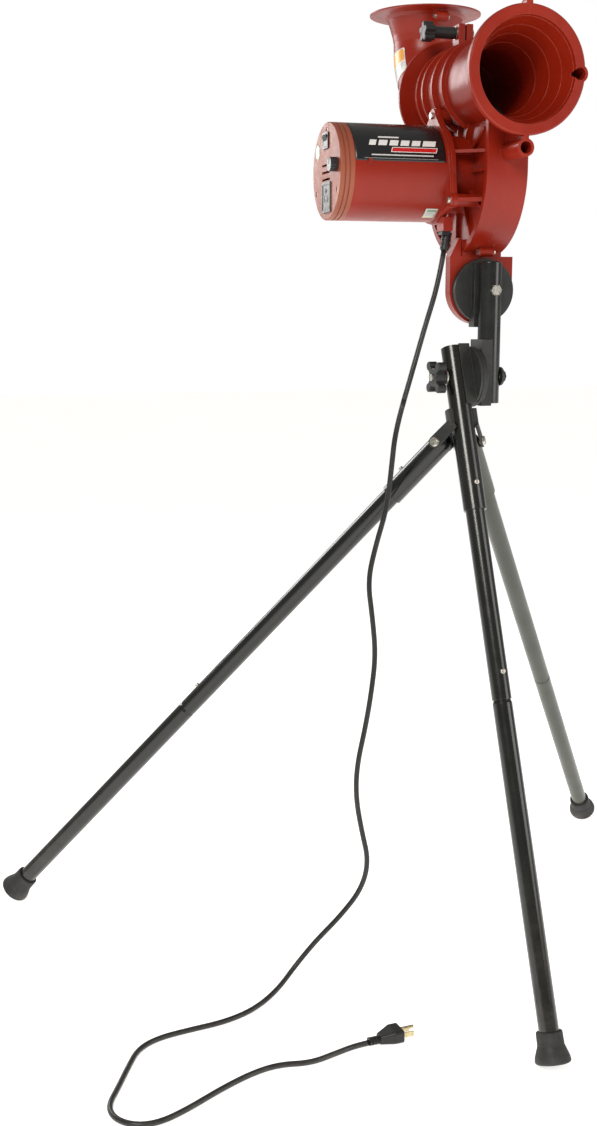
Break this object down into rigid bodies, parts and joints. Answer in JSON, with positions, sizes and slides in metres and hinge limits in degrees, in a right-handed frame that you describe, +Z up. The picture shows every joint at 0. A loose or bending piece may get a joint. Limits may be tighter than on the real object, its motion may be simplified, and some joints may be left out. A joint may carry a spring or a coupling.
{
  "type": "baseball pitching machine",
  "caption": "Single-wheel pitching machine: moulded barrel and wheel housing with side motor and feed chute, tilting and rolling on a folding tripod with telescopic legs.",
  "frame": {"origin": "on the floor, under the middle of the outline of the machine's base", "axes": "+Z up; -Y the way the ball is thrown; -X the motor's side"},
  "size_m": [1.0706, 0.8184, 1.335],
  "materials": {
    "black_powder_coat": "glossy powder coat",
    "dark_rubber": "matt",
    "zinc_steel": "zinc plated",
    "black_textured_metal": "textured powder coat",
    "red_plastic": "glossy moulded plastic",
    "black_plastic": "fine grain",
    "cord_jacket": "smooth vinyl",
    "brass": "bright",
    "aluminium": "machined",
    "tyre_rubber": "matt",
    "motor_windings": "laminated steel and copper",
    "circuit_board": "board"
  },
  "bodies": {
    "root": {"front_leg_upper": "black_powder_coat", "front_leg_middle": "black_powder_coat", "front_leg_lower": "black_powder_coat", "front_leg_foot": "dark_rubber", "leg_hinge_bracket": "black_textured_metal", "leg_hinge_bolts": "zinc_steel", "tilt_disc_leg": "black_textured_metal", "tilt_bolt": "zinc_steel", "power_cord_lead": "cord_jacket", "plug_body": "black_plastic", "plug_blades": "brass"},
    "left_leg": {"left_leg_upper": "black_powder_coat", "left_leg_middle": "black_powder_coat", "left_leg_lower": "black_powder_coat", "left_leg_foot": "dark_rubber"},
    "rear_leg": {"rear_leg_upper": "black_powder_coat", "rear_leg_middle": "black_powder_coat", "rear_leg_lower": "black_powder_coat", "rear_leg_foot": "dark_rubber"},
    "mast": {"mast_tube": "black_powder_coat", "tilt_disc_mast": "black_textured_metal", "roll_disc": "black_textured_metal", "roll_bolt": "zinc_steel"},
    "head": {"pivot_bracket": "red_plastic", "pivot_bracket_screws": "zinc_steel", "housing_motor_side": "red_plastic", "housing_outer_side": "red_plastic", "housing_screws": "zinc_steel", "chute_clamp_bolt": "zinc_steel", "motor_can": "red_plastic", "motor_end_cap": "red_plastic", "end_cap_screws": "zinc_steel", "motor_mount_screws": "zinc_steel", "power_switch_frame": "black_plastic", "speed_control": "black_plastic", "feeder_outlet": "black_plastic", "motor_core": "motor_windings", "motor_bearings": "zinc_steel", "control_board": "circuit_board", "cord_strain_relief": "black_plastic", "power_cord_drop": "cord_jacket"},
    "chute": {"chute_left_half": "red_plastic", "chute_right_half": "red_plastic", "chute_screws": "zinc_steel"},
    "wheel": {"motor_shaft": "zinc_steel", "wheel_hub": "aluminium", "wheel_tyre": "tyre_rubber"},
    "tilt_knob": {"tilt_knob": "black_plastic"},
    "chute_clamp_knob": {"chute_clamp_knob": "black_plastic"},
    "speed_knob": {"speed_knob": "black_plastic"},
    "power_rocker": {"power_rocker": "black_plastic"},
    "front_button_high": {"front_button_high": "zinc_steel"},
    "front_button_low": {"front_button_low": "zinc_steel"},
    "left_button_high": {"left_button_high": "zinc_steel"},
    "left_button_low": {"left_button_low": "zinc_steel"},
    "rear_button_high": {"rear_button_high": "zinc_steel"},
    "rear_button_low": {"rear_button_low": "zinc_steel"}
  },
  "joints": [
    {"name": "left_leg_fold", "type": "hinge", "parent": "root", "child": "left_leg", "pos_m": [0.03431, -0.08506, 0.74029], "axis": [-0.7415, -0.6334, 0.2212], "range_deg": [0, 40]},
    {"name": "rear_leg_fold", "type": "hinge", "parent": "root", "child": "rear_leg", "pos_m": [0.07667, -0.08125, 0.7396], "axis": [-0.8518, 0.4835, -0.2015], "range_deg": [0, 40]},
    {"name": "mast_tilt", "type": "hinge", "parent": "root", "child": "mast", "pos_m": [0.10326, -0.07735, 0.828], "axis": [0.9981, 0.061, 0], "range_deg": [-25, 25], "deforming": ["power_cord_lead"]},
    {"name": "head_roll", "type": "hinge", "parent": "mast", "child": "head", "pos_m": [0.10326, -0.04736, 0.941], "axis": [0, 1, 0], "range_deg": [-40, 40], "deforming": ["power_cord_drop"]},
    {"name": "chute_swivel", "type": "hinge", "parent": "head", "child": "chute", "pos_m": [0.10326, 0.07265, 1.205], "axis": [0, 1, 0], "range_deg": [-45, 45]},
    {"name": "wheel_spin", "type": "hinge", "parent": "head", "child": "wheel", "pos_m": [0.10326, -0.01936, 1.093], "axis": [1, 0, 0], "continuous": true},
    {"name": "tilt_knob_turn", "type": "hinge", "parent": "root", "child": "tilt_knob", "pos_m": [0.14318, -0.07491, 0.828], "axis": [0.9981, 0.061, 0], "continuous": true},
    {"name": "chute_clamp_turn", "type": "hinge", "parent": "head", "child": "chute_clamp_knob", "pos_m": [0.07326, 0.03365, 1.284], "axis": [1, 0, 0], "continuous": true},
    {"name": "speed_turn", "type": "hinge", "parent": "head", "child": "speed_knob", "pos_m": [-0.10874, -0.06335, 1.098], "axis": [1, 0, 0], "range_deg": [0, 270]},
    {"name": "power_rock", "type": "hinge", "parent": "head", "child": "power_rocker", "pos_m": [-0.10424, -0.01735, 1.132], "axis": [0, 1, 0], "range_deg": [0, 16]},
    {"name": "front_button_high_press", "type": "slide", "parent": "root", "child": "front_button_high", "axis": [-0.0571, 0.934, -0.3527], "range_m": [0, 0.004], "stiffness_N_per_m": 900, "springref_m": -0.0012},
    {"name": "front_button_low_press", "type": "slide", "parent": "root", "child": "front_button_low", "axis": [-0.0571, 0.934, -0.3527], "range_m": [0, 0.004], "stiffness_N_per_m": 900, "springref_m": -0.0012},
    {"name": "left_button_high_press", "type": "slide", "parent": "left_leg", "child": "left_button_high", "axis": [0.5958, -0.4238, -0.6822], "range_m": [0, 0.004], "stiffness_N_per_m": 900, "springref_m": -0.0012},
    {"name": "left_button_low_press", "type": "slide", "parent": "left_leg", "child": "left_button_low", "axis": [0.5958, -0.4238, -0.6822], "range_m": [0, 0.004], "stiffness_N_per_m": 900, "springref_m": -0.0012},
    {"name": "rear_button_high_press", "type": "slide", "parent": "rear_leg", "child": "rear_button_high", "axis": [-0.5096, -0.547, -0.6642], "range_m": [0, 0.004], "stiffness_N_per_m": 900, "springref_m": -0.0012},
    {"name": "rear_button_low_press", "type": "slide", "parent": "rear_leg", "child": "rear_button_low", "axis": [-0.5096, -0.547, -0.6642], "range_m": [0, 0.004], "stiffness_N_per_m": 900, "springref_m": -0.0012}
  ]
}
